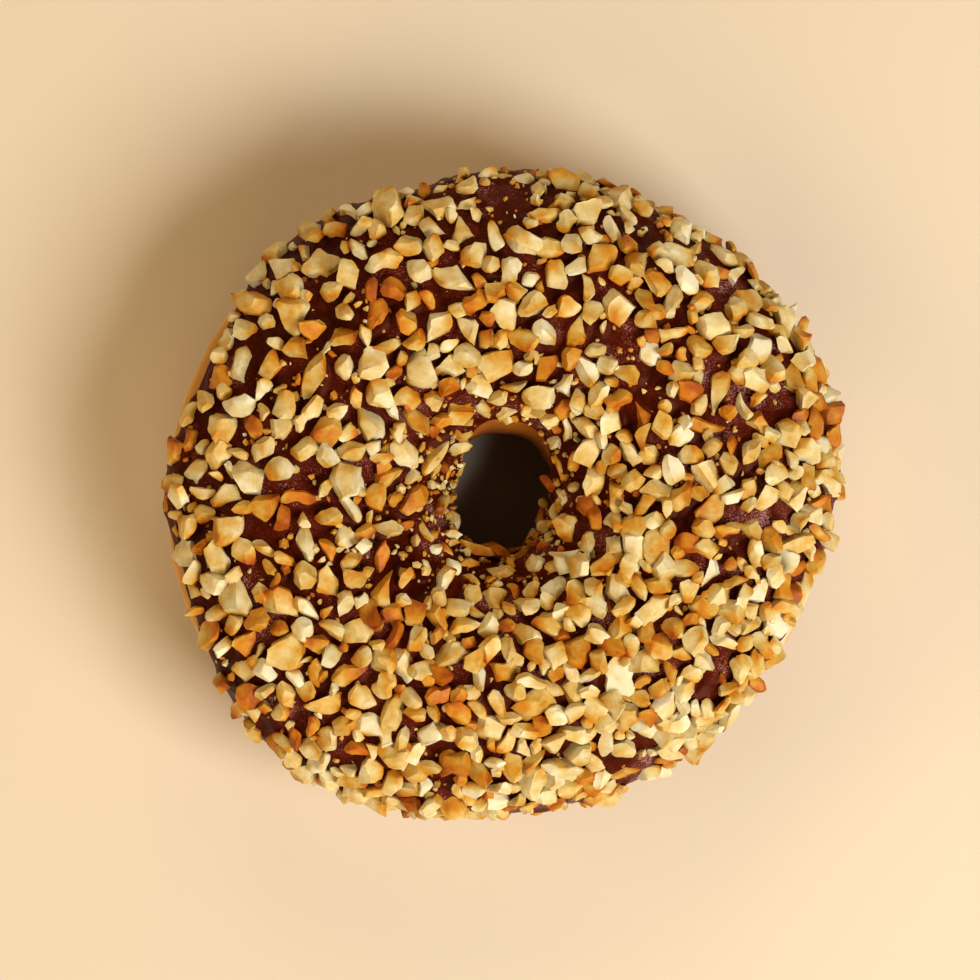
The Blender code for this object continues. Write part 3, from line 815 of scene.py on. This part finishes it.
def dark_chocolate():
    """Dark chocolate icing, set: satin, finely grained, with a dull bloom in patches whose
    mauve-grey specks are partly painted sheen, and painted lighter on the key light's side.
    """
    made, tree, shader = new_finish("dark_chocolate_icing")
    place = node(tree, "ShaderNodeTexCoord").outputs["Object"]
    patches = pattern(tree, place, 0.16, Detail=3.0, Roughness=0.6)
    grain = pattern(tree, place, 2.4, Detail=5.0, Roughness=0.65)
    speck = pattern(tree, place, 4.5, Detail=3.0, Roughness=0.7)
    # toward the lower right, where the key light stands, the icing is painted lighter and more
    # specked: painted light
    aside = node(tree, "ShaderNodeVectorMath", [(0, place)], operation="DOT_PRODUCT")
    aside.inputs[1].default_value = (0.6, -0.6, 0.0)
    specked = [(0, patches), (1, speck), (2, aside.outputs["Value"])]
    bloom_and_sheen = node(tree, "ShaderNodeMath", specked, operation="MULTIPLY_ADD")
    # dark brown up to a mauve-grey that is partly real bloom and partly painted sheen
    browns = ((0.15, "#320700"), (0.28, "#501302"), (0.35, "#6C3024"), (0.42, "#A88A8E"))
    colour = ramp(tree, bloom_and_sheen.outputs[0], browns)
    tree.links.new(colour, shader.inputs["Base Color"])
    rough = node(tree, "ShaderNodeMapRange", [("Value", patches)])
    rough.inputs["From Min"].default_value = 0.35
    rough.inputs["From Max"].default_value = 0.65
    rough.inputs["To Min"].default_value = 0.34
    rough.inputs["To Max"].default_value = 0.55
    tree.links.new(rough.outputs[0], shader.inputs["Roughness"])
    shader.inputs["IOR"].default_value = 1.46
    shader.inputs["Specular IOR Level"].default_value = 0.25
    shader.inputs["Specular Tint"].default_value = (*linear("#EAA688"), 1)
    bump = node(tree, "ShaderNodeBump", [("Height", grain)], Strength=0.45, Distance=0.16 * MM)
    tree.links.new(bump.outputs[0], shader.inputs["Normal"])
    return made


def fried_dough():
    """Yeast dough, fried: a golden crust with a paler band where it floated, and fine pores; painted
    shade darkens it deep in the hole, and painted light makes the side toward the key light paler.
    """
    made, tree, shader = new_finish("fried_dough_crust")
    place = node(tree, "ShaderNodeTexCoord").outputs["Object"]
    bake_light_and_shade = node(tree, "ShaderNodeAttribute", attribute_name="bake_light_and_shade").outputs["Fac"]
    cloud = pattern(tree, place, 0.09, Detail=4.0, Roughness=0.6)
    pores = pattern(tree, place, 1.7, Detail=4.0, Roughness=0.6)
    level = node(tree, "ShaderNodeMath", [(0, cloud), (2, bake_light_and_shade)], operation="MULTIPLY_ADD")
    level.inputs[1].default_value = 0.22
    colour = ramp(
        tree,
        level.outputs[0],
        (
            (0.0, "#96561C"),
            (0.28, "#B07026"),
            (0.40, "#D09A3C"),
            (0.48, "#F2DDB8"),
            (0.56, "#DCAC50"),
            (0.68, "#BA8020"),
            # the darkest stops are reached mostly deep in the hole, where they are painted shade
            (0.90, "#A0621C"),
            (1.0, "#6E3C10"),
        ),
    )
    tree.links.new(colour, shader.inputs["Base Color"])
    shader.inputs["Roughness"].default_value = 0.55
    shader.inputs["IOR"].default_value = 1.44
    shader.inputs["Subsurface Weight"].default_value = 0.12
    shader.inputs["Subsurface Radius"].default_value = (1.0, 0.5, 0.2)
    shader.inputs["Subsurface Scale"].default_value = 1.5 * MM
    bump = node(tree, "ShaderNodeBump", [("Height", pores)], Strength=0.4, Distance=0.25 * MM)
    tree.links.new(bump.outputs[0], shader.inputs["Normal"])
    return made


def plain_floor():
    """Plain pale paper, matt."""
    made, _, shader = new_finish("pale_floor")
    shader.inputs["Base Color"].default_value = (*linear("#DCD4C6"), 1)
    shader.inputs["Roughness"].default_value = 0.8
    return made


# Surroundings


def make_floor():
    shape = bmesh.new()
    bmesh.ops.create_grid(shape, x_segments=1, y_segments=1, size=FLOOR_HALF)
    bmesh.ops.translate(shape, vec=(0, 0, -FLOOR_GAP), verts=shape.verts)
    mesh = bpy.data.meshes.new("floor")
    shape.to_mesh(mesh)
    shape.free()
    mesh.materials.append(plain_floor())
    floor = bpy.data.objects.new("floor", mesh)
    bpy.context.scene.collection.objects.link(floor)


def aimed(obj, place, target):
    obj.location = place
    obj.rotation_euler = (Vector(target) - Vector(place)).to_track_quat("-Z", "Y").to_euler()
    bpy.context.scene.collection.objects.link(obj)


def area_light(name, place, size, power, colour):
    light = bpy.data.lights.new(name, "AREA")
    light.size = size
    light.energy = power
    light.color = linear(colour)
    aimed(bpy.data.objects.new(name, light), place, (0, 0, 0.015))


def make_camera():
    lens = bpy.data.cameras.new("camera")
    lens.sensor_width = 36.0
    lens.lens = 36.0 * (CAMERA_HEIGHT - VIEW_LEVEL) / VIEW_WIDTH
    lens.clip_start = 0.01
    camera = bpy.data.objects.new("camera", lens)
    middle = RING_SHIFT.xy + VIEW_MIDDLE
    camera.location = (middle.x, middle.y, CAMERA_HEIGHT)
    bpy.context.scene.collection.objects.link(camera)
    bpy.context.scene.camera = camera


def set_light():
    world = bpy.data.worlds.new("studio")
    world.use_nodes = True
    world.node_tree.nodes["Background"].inputs["Color"].default_value = (*linear("#FFCF94"), 1)
    world.node_tree.nodes["Background"].inputs["Strength"].default_value = 0.02
    bpy.context.scene.world = world
    area_light("key", (0.46, -0.31, 0.62), 0.42, 7.7, "#FFF5E8")
    # low soft light all round, so that the hole stays dark
    soft = (("left", -0.8, 0.0, 3.3), ("back", 0.0, 0.8, 3.2), ("front", -0.1, -0.8, 3.3))
    for name, x, y, power in soft:
        area_light(f"soft_{name}", (x, y, 0.55), 0.6, power, "#FFDCA8")
    bpy.context.scene.view_settings.view_transform = "Standard"
    bpy.context.scene.view_settings.gamma = 0.94


def main():
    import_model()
    solid_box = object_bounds()
    room = [np.array(corner) - np.array(RING_SHIFT) for corner in solid_box]
    pieces = scattered_pieces()
    peanut = roasted_peanut()
    dough = make_dough(fried_dough())
    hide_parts("dough")
    make_icing(dark_chocolate(), pieces)
    make_nuts(peanut, pieces, room)
    make_crumbs(peanut)
    make_floor()
    make_camera()
    set_light()


main()
